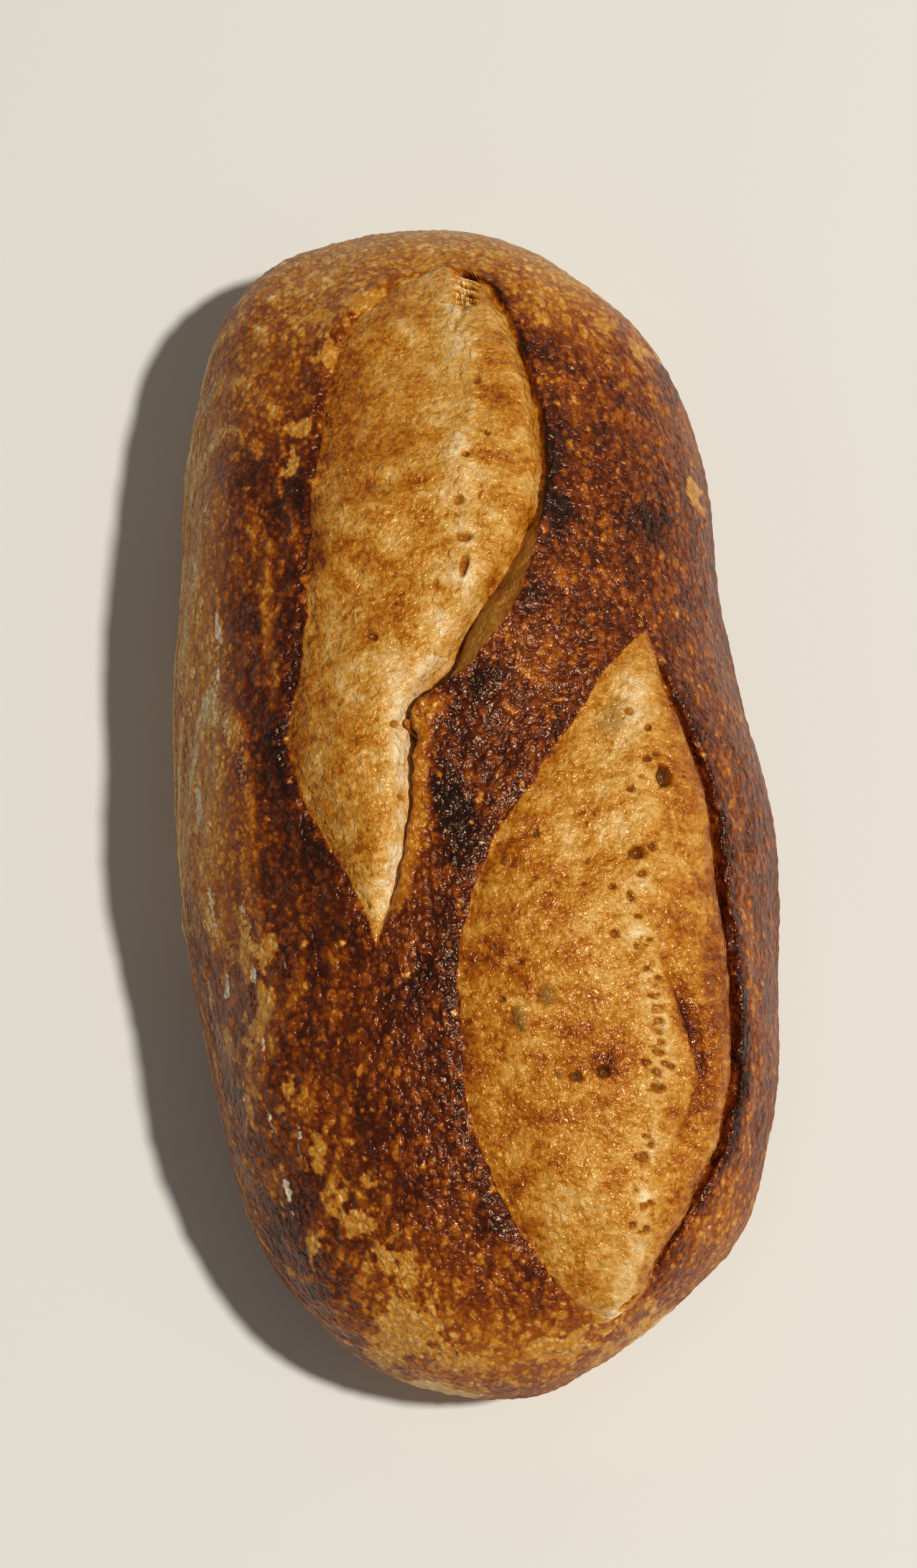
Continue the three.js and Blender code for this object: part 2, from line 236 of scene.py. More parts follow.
# seeded noise: every cell of a lattice has three draws of its own
def cellDraws(cells, seed):
    c = cells.astype(np.int64).astype(np.uint32)
    h = c[..., 0] * np.uint32(73856093) ^ c[..., 1] * np.uint32(19349663) ^ c[..., 2] * np.uint32(83492791)
    h = h + np.uint32(seed * 2654435761 % 2 ** 32)
    h = (h ^ (h >> np.uint32(15))) * np.uint32(2246822519)
    h = (h ^ (h >> np.uint32(13))) * np.uint32(3266489917)
    h = h ^ (h >> np.uint32(16))
    return np.stack([(h >> np.uint32(bits)) & np.uint32(1023) for bits in (0, 10, 20)], -1) / 1023


def lumps(points, size, seed, octaves=1, stretch=(1, 1, 1)):  # waves of that size, about -1 to 1
    total = np.zeros(len(points))
    for octave in range(octaves):
        q = points / (np.array(stretch) * size / 2 ** octave) + 17.3 * octave
        corner = np.floor(q)
        f = q - corner
        s = f * f * f * (f * (f * 6 - 15) + 10)
        for k in range(8):
            step = np.array([k & 1, (k >> 1) & 1, k >> 2])
            slope = cellDraws(corner + step, seed + octave) * 2 - 1
            weight = np.where(step, s, 1 - s).prod(1)
            total += weight * ((f - step) * slope).sum(1) * 1.7 / 2 ** octave
    return total


# round bumps packed at random: how high a point is on its bump, 0 to 1, and one draw for each bump
def domes(points, size, seed, least=0.35, most=0.75, stretch=(1, 1, 1)):
    q = points / (np.array(stretch) * size)
    corner = np.floor(q)
    best = np.zeros(len(points))
    draw = np.zeros(len(points))
    for k in range(27):
        cell = corner + np.array([k % 3 - 1, k // 3 % 3 - 1, k // 9 - 1])
        centre = cell + cellDraws(cell, seed)
        own = cellDraws(cell, seed + 7)
        radius = mix(least, most, own[:, 0] ** 1.5)
        height = np.clip(1 - ((q - centre) ** 2).sum(1) / radius ** 2, 0, 1) * radius / most
        draw = np.where(height > best, own[:, 1], draw)
        best = np.maximum(best, height)
    return best, draw


meshGrid = dict(
    rings=680, footColumns=72,
    # columns from one side over the dome to the other: how many, and how much they gather at both ends
    spans=[(100, 0, 0.5), (110, 0.5, 0.8), (10, 0, 0), (72, 0.8, 0.5), (122, 0.5, 0.8), (10, 0, 0),
           (80, 0.8, 0)],
    gatherWidth=0.2, leastGap=2, driftLength=70, tipFrom=127, tipTo=142,
    closeAt=-10, closeWidth=90, closeExtra=0.3,  # rings are closer round the bursts
)


def spreadShares(count, first, last):
    shares = np.linspace(0, 1, 401)
    middle = (shares[1:] + shares[:-1]) / 2
    width = meshGrid["gatherWidth"]
    sums = np.concatenate([[0], np.cumsum(1 + first * bell(middle, width) + last * bell(1 - middle, width))])
    return np.interp(np.linspace(0, sums[-1], count + 1)[:-1], sums, shares)


# where a slash's left edge, wall foot and lip stand in a ring, as lengths over the dome; beyond the
# slash its columns drift to their resting shares
def columnStops(cut, y, xs, arcs):
    total = arcs[-1]
    held = min(max(y, cut["leftEdge"]["near"]), cut["leftEdge"]["far"])
    drift = max(smooth(0, meshGrid["driftLength"], abs(y - held)),
                smooth(meshGrid["tipFrom"], meshGrid["tipTo"], abs(y)))
    edges = [cut["leftEdge"], cut["footEdge"], cut["lipEdge"]]
    left, foot, lip = (np.interp(float(edge["xAt"](held)), xs, arcs) for edge in edges)
    restLeft, restLip = (share * total for share in cut["restShares"])
    half = (lip - left) / 2
    least = meshGrid["leastGap"]
    middle = mix((left + lip) / 2, (restLeft + restLip) / 2, drift)
    reach = mix(half + least * math.exp(-half / least), (restLip - restLeft) / 2, drift)
    wall = mix(max(edgeShape["wallLeast"], lip - foot), (restLip - restLeft) / 8, drift)
    return [middle - reach, middle + reach - wall, middle + reach]


def lengthsAlong(points):
    return np.concatenate([[0], np.cumsum(np.linalg.norm(np.diff(points, axis=0), axis=1))])


def plainGrid(cuts):
    ys = np.linspace(halfLength, -halfLength, 8001)
    walk = sum(np.linalg.norm(np.diff(section(ys, turn), axis=0), axis=1) for turn in (0.0, 0.25))
    middle = (ys[1:] + ys[:-1]) / 2
    walk *= 1 + meshGrid["closeExtra"] * bell(middle - meshGrid["closeAt"], meshGrid["closeWidth"])
    sums = np.concatenate([[0], np.cumsum(walk)])
    places = np.interp(np.linspace(0, sums[-1], meshGrid["rings"] + 1)[1:-1], sums, ys)
    shares = [spreadShares(*span) for span in meshGrid["spans"]]
    domeTurns = np.linspace(0, 0.5, 601)
    footTurns = np.linspace(0.5, 1, 401)
    rows = []
    for y in places:
        dome = section(y, domeTurns)
        arcs = lengthsAlong(dome)
        stops = [0]
        for cut in cuts:
            stops += columnStops(cut, y, dome[:, 0], arcs)
        stops.append(arcs[-1])
        wanted = np.concatenate([a + s * (b - a) for s, a, b in zip(shares, stops, stops[1:])])
        footArcs = lengthsAlong(section(y, footTurns))
        under = np.linspace(0, footArcs[-1], meshGrid["footColumns"] + 1)[:-1]
        turns = np.concatenate([np.interp(wanted, arcs, domeTurns), np.interp(under, footArcs, footTurns)])
        rows.append(section(y, turns))
    return np.array(rows)


def gridNormals(grid):
    across = np.roll(grid, -1, 1) - np.roll(grid, 1, 1)
    along = np.empty_like(grid)
    along[1:-1] = grid[:-2] - grid[2:]
    along[0] = grid[0] - grid[1]
    along[-1] = grid[-2] - grid[-1]
    normals = np.cross(across, along)
    return normals / np.maximum(np.linalg.norm(normals, axis=-1, keepdims=True), 1e-9)


def waves(points):
    count = 5
    total = np.zeros(len(points))
    for i in range(count):
        turn = 2.4 * i
        path = points @ np.array([math.cos(turn), math.sin(turn), 0.7 * math.cos(turn + 1)])
        total += np.sin(path * 2 * math.pi / (34 + 13 * i) + 1.7 * i)
    return 2 * total / count


def riseAcross(share):  # the burst's rounded rise from its left edge to the wall's foot
    a, b = edgeShape["leftPower"], edgeShape["lipPower"]
    top = a / (a + b)
    share = np.clip(share, 0, 1)
    return (share / top) ** a * ((1 - share) / (1 - top)) ** b


# what a slash does to the dome: lift along the normal, slide over the surface, and the distances
# that the finish needs; jag runs from -1 to 1 along the torn lip
def openSlash(cut, points, normals, jag):
    e = edgeShape
    left, leftY, _ = measure(points, cut["leftEdge"])
    lip, lipY, along = measure(points, cut["lipEdge"])
    foot = np.minimum(measure(points, cut["footEdge"])[0], lip - e["wallLeast"])
    shownLeft = within(cut["leftEdge"], leftY) * (lip > 0)
    lift = shownLeft * e["rollHeight"] * bell(left + e["rollBack"], e["rollWidth"])
    lift -= shownLeft * e["valleyDepth"] * bell(left, e["valleyWidth"])
    inside = (left > 0) & (foot > 0)
    width = np.maximum(left + foot, 1e-3)
    fullness = np.minimum(1, width / e["fullWidth"]) ** e["widthPower"]
    lift += np.where(inside, cut["swell"] * fullness * riseAcross(left / width), 0)
    shown = within(cut["lipEdge"], lipY) * (left > 0)
    upWall = np.clip(-foot / np.maximum(lip - foot, 1e-3), 0, 1) ** e["wallPower"]
    climb = np.where(lip < 0, np.exp(np.minimum(lip, 0) / e["lipFall"]), upWall)
    dip = bell(foot, np.where(foot > 0, e["creaseBurst"], e["creaseWall"]))
    lift += shown * (cut["heightAt"](lipY) * climb * (1 + 0.25 * jag) - cut["depthAt"](lipY) * dip)
    lift -= shown * cut["roundAt"](lipY) * bell(lip, np.where(lip < 0, e["roundWidth"], e["roundBurst"]))
    overhang = bell(lip + e["wallLeast"] / 2, e["overhangWidth"]) * (1 + 0.3 * jag)
    undercut = e["undercutShare"] * bell(foot, e["undercutWidth"])
    away = np.cross(normals, along)
    away /= np.maximum(np.linalg.norm(away, axis=1, keepdims=True), 1e-6)
    slide = away * (shown * cut["reachAt"](lipY) * (overhang - undercut))[:, None]
    seam = measure(points, cut["seamEdge"], e["seamReach"])[0]
    return lift, slide, dict(left=left, lip=lip, foot=foot, seam=seam)


crust = dict(
    bake=0.655, slowSize=26, slow=0.06, patchSize=6, patch=0.08,
    tanBake=0.32, rimBake=0.12, goldRoll=0.42,
    blisterSize=2.1, blisterHeight=0.26, blisterPale=0.15,
    bigBlisterSize=5.2, bigBlisterHeight=0.4, bigBlisterPale=0.08,
    lumpSize=8, lumpHeight=0.16, calmFoot=(0.2, 9),  # no relief below the first height, all of it above
    # faint rows that the proving basket leaves on the left
    rowGap=5.6, rowHeight=0.14, rowPale=0.24, rowSlant=0.9, rowWander=2.5,
    rowsAcross=(-27, -44), rowsUp=(8, 24),
    # paler parts: how much, and between which x, y or height
    sidePale=0.04, sideUp=(58, 26), flankPale=0.08, flankAcross=(-47, -64),
    sunlessPale=0.26, sunlessAlong=(-52, 2), farPale=0.14, farAlong=(50, 120),
    nearPale=0.06, nearAlong=(-90, -125), underPale=0.04, underUp=(16, 2),
    # along the slashes: where they show, how much browner the crust is beside them, and how dark the painted
    # shade in the creases is
    farSpan=(-46, -36, 118, 130), nearSpan=(-132, -118, 16, 30),
    farRim=0.1, nearRim=0.08, lipRim=0.14, paintedCreaseShade=0.3,
    strip=0.16, stripSpan=(-114, -98, -14, 4), stripBack=0.07,
    rollAcross=(-4.2, -2, 0.5, 1.5), rollSpan=(-40, -30, 9, 15),
    # soft patches: x, y, half widths, turn in degrees, how much
    darker=[(26, 57, 5, 5, 0, 0.25), (24, 72, 2.5, 12, 0, 0.14), (46, 57, 5, 5, 0, 0.24),
            (45, 88, 4, 3, 0, 0.14), (34, 97, 13, 3, -38, 0.18), (57, 100, 2.5, 7, 0, 0.3),
            (36, 75, 8, 11, 0, 0.08), (18, 37, 4, 4, 0, 0.2), (6, 16, 7, 5, 25, 0.26),
            # the patches at (-6, -12) and (-4, -18) are char made darker still as painted shade, on the lip's
            # slope that faces away from the lamp
            (-3, 10, 3, 3, 0, 0.1), (1, 0, 9, 8, 0, 0.04), (-6, -12, 4, 9, 10, 0.5),
            (-4, -18, 4, 6, 0, 0.4), (4, -11, 5, 6, 0, 0.05), (-8, -31, 5, 8, 0, 0.06),
            (-12, -53, 8, 9, 0, 0.14), (-20, -60, 9, 9, 0, 0.06), (-12, -68, 6, 8, 0, 0.08),
            (-13, -80, 8, 6, 0, 0.12), (-25, -84, 6, 5, 0, 0.1), (-43, 0, 3, 12, 0, 0.06),
            (-39, -20, 4, 12, 20, 0.1), (-33, -38, 5, 6, 0, 0.1), (-44, 14, 3, 9, 0, 0.05),
            (-36, 69, 3.5, 6, -20, 0.18), (-31, 90, 2.5, 10, 0, 0.06), (-46, 78, 8, 6, 0, 0.1),
            (-52, -105, 5, 9, -20, 0.2), (-44, -115, 8, 5, 30, 0.14), (-2, -105, 4, 7, 0, 0.15),
            (-20, -95, 8, 6, 0, 0.06), (51, 12, 2.5, 12, 15, 0.14), (-56, 72, 5, 7, 0, 0.08),
            (-50, 20, 7, 30, 0, 0.03)],
    paler=[(0, 138, 45, 12, 0, 0.19), (-32, 128, 20, 10, 0, 0.07), (28, 120, 15, 11, 0, 0.19),
           (-46, 104, 10, 16, 0, 0.1), (56, -112, 9, 16, 0, 0.12), (4, -136, 30, 10, 0, 0.17),
           (-26, -118, 16, 14, 0, 0.03), (44, 38, 6, 6, 0, 0.05), (-62, -20, 8, 90, 0, 0.03)],
    tan=[(-28, 117, 3.5, 4, 0, 1), (-17, 119, 4, 4.5, 0, 1), (-25, 104, 3.5, 5, 0, 1.1),
         (-35, 87, 3, 3, 0, 0.8), (-37, 77, 4, 3, 0, 1), (-1, 129, 8, 3, 0, 0.8), (50, 104, 3, 3, 0, 1.1),
         (60, 66, 2, 4, 0, 1), (26, 108, 4, 1.4, -38, 0.8), (42, 112, 5, 4, 0, 0.5),
         (-35, -105, 7, 6, 0, 0.55), (-27, -113, 8, 4, 0, 0.7), (-25, -126, 9, 9, 0, 0.75),
         (-30, -133, 6, 5, 0, 0.8), (-12, -137, 9, 5, 0, 0.7), (-46, -109, 3, 3, 0, 1),
         (12, -136, 10, 4, 10, 0.9), (30, -133, 9, 3, 35, 1), (-57, -59, 3, 5, 0, 0.9),
         (-57, -38, 3, 5, 0, 0.8), (-58, -75, 3, 5, 0, 0.8), (-53, 90, 3, 4, 0, 0.5),
         (-51.5, -39, 2.4, 4, 0, 1), (-53, -55, 2.6, 6, 0, 1.05), (-47.5, -74, 2.8, 5, 0, 0.9),
         (-42, -89, 2.6, 6, 10, 0.8), (-39, -100, 2.4, 5, 20, 0.6), (-31, -70, 1.6, 9, 0, 0.5),
         (-32, -95, 2, 9, 0, 0.5)],
    flour=[(-58, 41, 1.1, 6, 0, 1.3), (-58, 29, 0.9, 4, 0, 1), (-66, -1, 1.3, 7, 0, 1.2),
           (-64, -25, 1.1, 5, 0, 1), (-63, -46, 1.2, 4, 8, 1.2), (-55, -45, 1.6, 4, 0, 1),
           (-51, -95, 1.2, 8, 5, 1), (-53, -80, 1, 5, 0, 0.8), (-59, -72, 1.5, 4, 0, 0.7),
           (-57, -30, 1.2, 6, 3, 0.9), (-53, -62, 1, 7, 5, 0.8), (-47, -84, 1, 7, 6, 0.8),
           (-42, 108, 0.8, 5, 0, 0.6), (-54, 93, 1, 3, -20, 0.6), (-50, 52, 0.8, 6, 0, 0.5),
           (-61, 10, 0.8, 6, 0, 0.6), (-47, -45, 0.7, 5, 0, 0.5), (-67, 70, 1, 8, 0, 0.6)],
    # flour dust: how much of it lies where
    dustLeft=0.2, dustAcross=(-42, -60), dustSunless=0.22, dustFoot=0.25, dustUp=(12, 3),
    dustSide=0.08, dustRows=0.14, dustPatch=(-48, 98, 13, 26, 0, 0.25),
    # pale dough low on the sides: x, y, z, size, how much
    rim=[(-18, -143, 34, 11, 1.1), (33, -134, 34, 10, 1), (66, -92, 34, 9, 0.8), (52, 104, 44, 5, 0.6)],
)
burst = dict(
    bake=0.4, slowSize=18, slow=0.06, patchSize=7, patch=0.15, streakSize=2, streak=0.06,
    bulgeSize=15, bulge=0.6, wrinkleSize=2.4, wrinkle=0.055, grainSize=1.7, grain=0.16,
    seamHeight=0.6, seamWidth=2.6, seamPale=0.13,
    seamBroad=0.05, ridgePale=0.05, farSeam=0.05, nearSeam=0.04, lipPale=0.1, lipBrown=0.09,
    # the crease value darkens the gap under the near lip as painted shade
    rimBrown=0.12, nearBrown=0.035, paintedCreaseShade=0.3, filmHeight=0.55, filmEdge=0.45,
    # the wall and pore values are painted shade: darker and olive on the wall under the far lip and inside
    # the open pores
    wallShade=0.1, wallShadeOlive=0.75, wallSpan=(1, 8, 56, 68), poreShade=0.36, poreShadeOlive=0.45,
    darker=[(-15, 88, 16, 34, 0, 0.035), (-12, 49, 11, 5, 10, 0.1), (10, 86, 6, 12, 0, 0.06),
            (15, 68, 5, 13, 0, 0.05), (-22, 92, 7, 9, 0, 0.06), (-29, 55, 4, 16, 0, 0.04),
            (-31, 0, 5, 11, 0, 0.04), (25, -75, 5, 4, 0, 0.2), (18, -68, 9, 7, 0, 0.08),
            (12, -86, 7, 8, 0, 0.07), (51, -42, 4, 9, 0, 0.13), (52, -60, 3, 10, 0, 0.08),
            (39, -23, 3, 4, 0, 0.12), (20, -100, 8, 6, 0, 0.05), (40, -106, 5, 10, 0, 0.04),
            (47, 8, 3, 12, 8, 0.05), (5, -52, 5, 8, 0, 0.05)],
    paler=[(1, 124, 6, 4, 0, 0.14), (-10, 118, 7, 6, 0, 0.04), (-14, 5, 5, 18, 0, 0.1),
           (-20, -25, 5, 8, 0, 0.06), (-5, 35, 6, 8, -30, 0.12), (3, 62, 4, 24, 0, 0.06),
           (30, 12, 9, 9, -30, 0.13), (20, -12, 8, 10, -35, 0.04), (28, -20, 8, 6, 0, 0.08),
           (27, -130, 8, 4, 0, 0.1), (15, -112, 9, 10, 0, 0.08), (34, 4, 9, 12, 0, 0.06),
           (-32, 40, 4, 20, 0, 0.03)],
    # thin blown skins, which the dark crumb shows through: x, y, half widths, turn, how much
    film=[(34, 6, 6, 9, -25, 0.62), (-2, 117, 2.6, 1.8, 0, 0.6), (8, 111, 2, 2.4, 0, 0.7),
          (7, -63, 2.2, 3.4, 0, 1), (13.5, -58, 3, 3, 0, 0.9), (15, -76, 1.6, 1.6, 0, 0.8),
          (-16, 66, 3, 3, 0, 0.6), (-4, 45, 3, 2, 0, 0.5), (37, -77, 2.6, 5, 0, 0.5),
          (33, -95, 3, 4, 0, 0.4), (50, -56, 1.5, 2.5, 0, 0.7), (52.5, -62, 1.2, 2.5, 0, 0.6),
          (39, -44, 1.6, 2, 0, 0.6), (7, -26, 2, 2.4, -40, 0.6), (6, 107, 1.6, 2.4, 0, 0.6)],
    # open pores: x, y, half widths, turn, depth
    pores=[(43, -8, 1.4, 2.6, 0, 2.2), (36, -26, 1.8, 1.5, 0, 2.6), (36.5, -31, 1.1, 0.9, 0, 1.5),
           (14, -20, 0.7, 1.3, -20, 1), (37, -72, 1.1, 0.9, 0, 1.7), (38.3, -74.5, 1, 0.8, 0, 1.2),
           (36, -80, 1.4, 1, 0, 1.5), (32, -96, 1, 0.8, 0, 1.4), (31, -106, 1, 0.8, 0, 1.2),
           (26, -127, 3, 0.9, 33, 1.8), (25, -76, 1.5, 1.2, 0, 1.5), (18.5, -77, 1.6, 1, 0, 1.2),
           (5, -51, 0.8, 0.8, 0, 0.9), (8, -50, 0.7, 0.7, 0, 0.8), (3, -58, 0.8, 0.8, 0, 0.9),
           (35, -41, 0.9, 0.7, 0, 1.2), (33.5, -36, 0.7, 1.3, 10, 1), (3, 52, 1.8, 1, 0, 1.5),
           (2.4, 45, 1, 2.8, -12, 1.7), (2.5, 61, 1.3, 1, 0, 0.9), (-20, 30, 1.3, 0.6, -20, 0.9),
           (9, 92, 0.8, 1.4, 0, 0.8)],
    poreWiden=1.25, poreSink=1.15,  # how much wider and deeper these are made
    seamPits=[(35.7, -53, 1.3, 0.8, 20, 1.7), (38.1, -55, 0.9, 0.7, 0, 1.3),
              (36.3, -59.4, 1.4, 0.8, -15, 1.6), (38.4, -61.8, 0.7, 0.6, 0, 1.1),
              (36.6, -66.8, 0.9, 0.6, 0, 1)],
    seamPores=70, loosePores=150, poreShares=(0.4, 0.6), seed=11,  # shares of the far and near burst
    crowd=dict(far=-46, near=-112, pores=55, spread=1.5, size=0.4, more=0.6),  # spongy near seam
    # strands over an open slit, with painted shade between the strands
    comb=dict(far=(9.5, 127), near=(6.5, 112), width=2.3, depth=3.8, gap=2.3, paintedShade=0.8, strandPale=0.1),
)


def patches(points, spots):
    total = np.zeros(len(points))
    for x, y, wide, long, turn, amount in spots:
        c, s = math.cos(math.radians(turn)), math.sin(math.radians(turn))
        dx, dy = points[:, 0] - x, points[:, 1] - y
        total += amount * np.exp(-((c * dx + s * dy) / wide) ** 2 - ((c * dy - s * dx) / long) ** 2)
    return total


# pits with steep sides: how deep each point lies, and how far it is inside one
def openPores(points, pores):
    deep = np.zeros(len(points))
    hollow = np.zeros(len(points))
    fallingY = np.maximum.accumulate(-points[:, 1])
    for x, y, wide, long, turn, depth in pores:
        reach = 2 * max(wide, long)
        first, last = np.searchsorted(fallingY, [-y - reach - 2, -y + reach + 2])
        near = points[first:last]
        c, s = math.cos(math.radians(turn)), math.sin(math.radians(turn))
        dx, dy = near[:, 0] - x, near[:, 1] - y
        r = np.hypot((c * dx + s * dy) / wide, (c * dy - s * dx) / long)
        pit = 1 - smooth(0.45, 1.05, r)
        deep[first:last] = np.maximum(deep[first:last], depth * pit)
        deep[first:last] -= 0.12 * depth * bell(r - 1.35, 0.3)  # a low rim round each pore
        hollow[first:last] = np.maximum(hollow[first:last], pit * min(1, depth / 1.2))
    return deep, hollow


def scatteredPores(cuts):
    draws = np.random.default_rng(burst["seed"])
    pores = []
    for cut, count in zip(cuts, burst["poreShares"]):
        edge = cut["seamEdge"]
        for i in range(int(burst["seamPores"] * count)):
            y = draws.uniform(edge["near"] + 4, edge["far"] - 4)
            x = float(edge["xAt"](y)) + draws.normal(0, 3)
            size = 0.3 + 0.9 * draws.random() ** 3
            pores.append((x, y, size * draws.uniform(0.9, 1.5), size, draws.uniform(-40, 40), 1.2 * size))
        for i in range(int(burst["loosePores"] * count)):
            y = draws.uniform(edge["near"] + 6, edge["far"] - 6)
            low, high = float(cut["leftEdge"]["xAt"](y)), float(cut["footEdge"]["xAt"](y))
            x = draws.uniform(low + 2, high - 2) if high - low > 6 else low
            size = 0.35 + 0.4 * draws.random() ** 3
            pores.append((x, y, size, size * draws.uniform(1, 1.8), draws.uniform(-60, 60), 0.7 * size))
    crowd = burst["crowd"]
    for i in range(crowd["pores"]):
        y = draws.uniform(crowd["near"], crowd["far"])
        x = float(cuts[1]["seamEdge"]["xAt"](y)) + draws.normal(0, crowd["spread"])
        size = crowd["size"] + crowd["more"] * draws.random() ** 2
        pores.append((x, y, 1.3 * size, size, draws.uniform(-40, 40), 1.4 * size))
    return pores


def combSlit(points):
    comb = burst["comb"]
    far, near = np.array(comb["far"]), np.array(comb["near"])
    run = far - near
    length = np.linalg.norm(run)
    offset = points[:, :2] - near
    along = offset @ run / length
    across = (offset[:, 0] * run[1] - offset[:, 1] * run[0]) / length
    slit = bell(across, comb["width"]) * smooth(0, 4, along) * smooth(0, 4, length - along)
    strand = 0.5 + 0.5 * np.cos(2 * math.pi * (along + 0.35 * across) / comb["gap"])
    return slit, smooth(0.62, 0.9, strand)


def sideways(points, size, seed, amount, octaves=1):  # small steps in x and y that make edges wander
    steps = [amount * lumps(points, size, seed + k, octaves) for k in (0, 1)]
    return np.stack(steps + [np.zeros(len(points))], -1)


# the loaf's points with both slashes and the tear opened, and what the finish needs to know there
def openedLoaf(cuts):
    grid = plainGrid(cuts)
    rows, columns = grid.shape[:2]
    domeColumns = sum(span[0] for span in meshGrid["spans"])
    print("plain loaf:", rows, "rings of", columns, "points")

    flat = grid.reshape(-1, 3)
    normals = gridNormals(grid).reshape(-1, 3)
    onTop = (np.arange(columns) <= domeColumns)[None].repeat(rows, 0).ravel()
    grounded = smooth(loafShape["reliefFrom"], loafShape["reliefFull"], flat[:, 2])
    shaped = flat + normals * (grounded * loafShape["crustWave"] * waves(flat))[:, None]
    top, topNormals = flat[onTop], normals[onTop]
    e = edgeShape
    tip = np.exp(-(((top[:, :2] - e["raggedTip"]) / e["tipSize"]) ** 2).sum(1))
    wander = sideways(top, e["raggedSize"], 3, e["ragged"], 2)
    wander += sideways(top, e["jagSize"], 13, e["jag"] + e["tipJag"] * tip, 2)
    jag = np.clip(e["lipJag"] * lumps(top, e["lipJagSize"], 23, 2), -1, 1)
    lift = np.zeros(len(top))
    slide = np.zeros((len(top), 3))
    opened = []
    for cut in cuts:
        cutLift, cutSlide, found = openSlash(cut, top + wander, topNormals, jag)
        lift += cutLift
        slide += cutSlide
        opened.append(found)
    tearEdge = edgeThrough(tear["points"], 1)
    torn, tornY, _ = measure(top + wander, tearEdge, tear["reach"])
    tornHere = within(tearEdge, tornY)
    shaped[onTop] += grounded[onTop][:, None] * (topNormals * lift[:, None] + slide)
    tearDip = bell(torn, np.where(torn > 0, tear["width"], tear["steepWidth"]))
    shaped[onTop] -= topNormals * (tornHere * tear["depth"] * tearDip)[:, None]
    print("slashes opened")

    def everywhere(value, beyond):
        spread = np.full(len(flat), float(beyond))
        spread[onTop] = value
        return spread

    far, near = opened
    skin = np.zeros(len(top))
    for found in opened:
        skin = np.maximum(skin, smooth(-0.3, 0.4, np.minimum(found["left"], found["lip"])))
    seam = np.where(np.abs(far["seam"]) < np.abs(near["seam"]), far["seam"], near["seam"])
    x, y, height = flat.T
    rowSlope = x - crust["rowSlant"] * height + crust["rowWander"] * lumps(flat, 40, 79)
    return SimpleNamespace(
        flat=flat, shaped=shaped, x=x, y=y, height=height, shape=(rows, columns), domeColumns=domeColumns,
        normals=gridNormals(shaped.reshape(grid.shape)).reshape(-1, 3), onTop=onTop,
        wobble=sideways(flat, 9, 51, 2.2, 2),
        bent=shaped + 1.6 * np.stack([lumps(shaped, 11, 83 + k) for k in (0, 1, 2)], -1),
        patchy=np.clip(0.8 + 0.8 * lumps(flat, 14, 141, 2), 0.3, 1.4),
        skin=everywhere(skin, 0), seam=everywhere(seam, 40),
        farLeft=everywhere(far["left"], -80), farLip=everywhere(far["lip"], -80),
        farFoot=everywhere(far["foot"], 40),
        nearLeft=everywhere(near["left"], -80), nearLip=everywhere(near["lip"], -80),
        torn=everywhere(torn, 20), tornHere=everywhere(tornHere, 0),
        farShown=spanned(y, crust["farSpan"]), nearShown=spanned(y, crust["nearSpan"]),
        rowsHere=smooth(*crust["rowsAcross"], x) * smooth(*crust["rowsUp"], height),
        rowWave=np.cos(2 * math.pi * rowSlope / crust["rowGap"]),
    )


def crustRelief(at):
    at.blister, at.blisterDraw = domes(at.shaped, crust["blisterSize"], 61, stretch=(0.92, 1.25, 0.92))
    big, bigDraw = domes(at.shaped, crust["bigBlisterSize"], 67, 0.12, 0.5, stretch=(0.9, 1.4, 0.9))
    at.bigBlister = big * smooth(0.35, 0.75, bigDraw + 0.3 * lumps(at.flat, 30, 71))
    relief = crust["blisterHeight"] * at.blister * (0.5 + 0.9 * at.blisterDraw)
    relief += crust["bigBlisterHeight"] * at.bigBlister
    relief += crust["lumpHeight"] * lumps(at.shaped, crust["lumpSize"], 73, 2)
    relief += crust["rowHeight"] * at.rowWave * at.rowsHere
    return relief * smooth(*crust["calmFoot"], at.height)


def burstRelief(at, pores):
    wrinkles = lumps(at.bent, burst["wrinkleSize"], 87, 2, stretch=(1.3, 0.9, 1.1))
    at.ridges = 1 - 2.2 * np.abs(wrinkles)
    at.seamTorn = bell(at.seam + 1.2 * lumps(at.flat, 5, 95, 2), burst["seamWidth"])
    at.blown = np.clip(patches(at.flat + 0.3 * at.wobble, burst["film"]), 0, 1)
    deep, at.hollow = openPores(at.flat + sideways(at.flat, 1.9, 143, 0.45), pores)
    at.slit, at.strands = combSlit(at.flat + 0.25 * at.wobble)
    relief = burst["bulge"] * lumps(at.shaped, burst["bulgeSize"], 97, 2) + burst["wrinkle"] * at.ridges
    relief += burst["grain"] * domes(at.shaped, burst["grainSize"], 91)[0]
    relief += burst["seamHeight"] * at.seamTorn * (0.7 + 0.6 * lumps(at.flat, 2.4, 99))
    relief += burst["filmHeight"] * smooth(0.35, 0.9, at.blown)
    relief -= burst["filmEdge"] * bell(at.blown - 0.35, 0.12)
    return relief - deep - burst["comb"]["depth"] * at.slit * (1 - 0.85 * at.strands)


